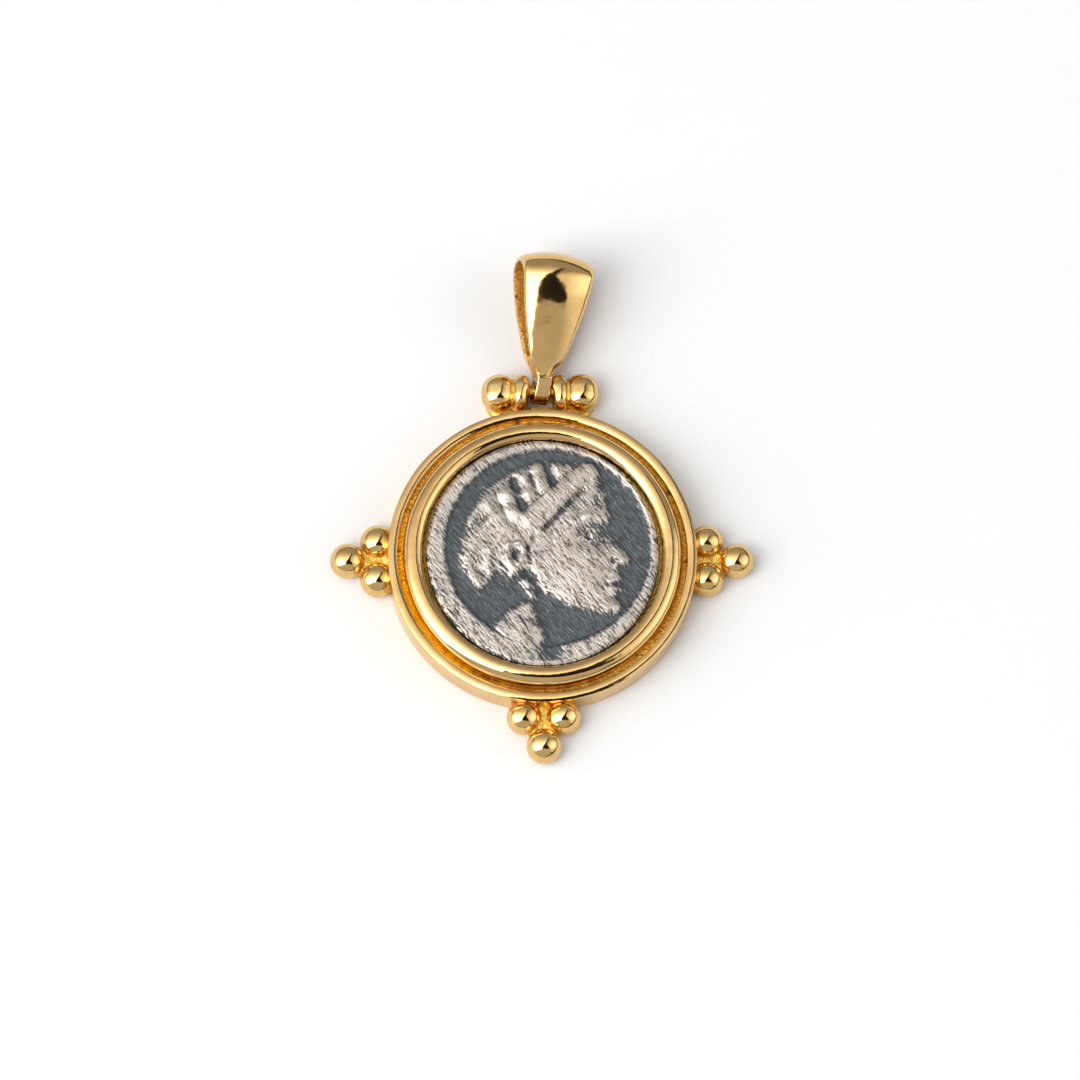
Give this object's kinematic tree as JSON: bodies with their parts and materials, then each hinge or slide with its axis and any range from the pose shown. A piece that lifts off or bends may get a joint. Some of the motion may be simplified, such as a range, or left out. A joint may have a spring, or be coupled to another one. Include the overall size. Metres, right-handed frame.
{
  "type": "coin pendant",
  "caption": "Round gilt pendant with an inset oxidised coin showing a classical head in profile, granules at the sides and a tapered hinged bail.",
  "frame": {"origin": "centre of the disc's flat back face", "axes": "+X to the right of the coin's head, the way it looks, +Y towards the bail, +Z out of the front; the pendant lies on its back on the plane z = 0"},
  "size_m": [0.0264, 0.033, 0.005],
  "materials": {
    "gilt": "polished yellow gold plate, rough cast in the recesses",
    "coin": "silver, oxidised dark in the recesses and worn bright on the relief"
  },
  "bodies": {
    "frame": {"setting": "gilt", "coin": "coin", "hinge_pin": "gilt"},
    "bail": {"bail": "gilt"}
  },
  "joints": [
    {"name": "bail_hinge", "type": "hinge", "parent": "frame", "child": "bail", "pos_m": [0, 0.0112, 0.00095], "axis": [1, 0, 0], "range_deg": [-106, 95]}
  ]
}
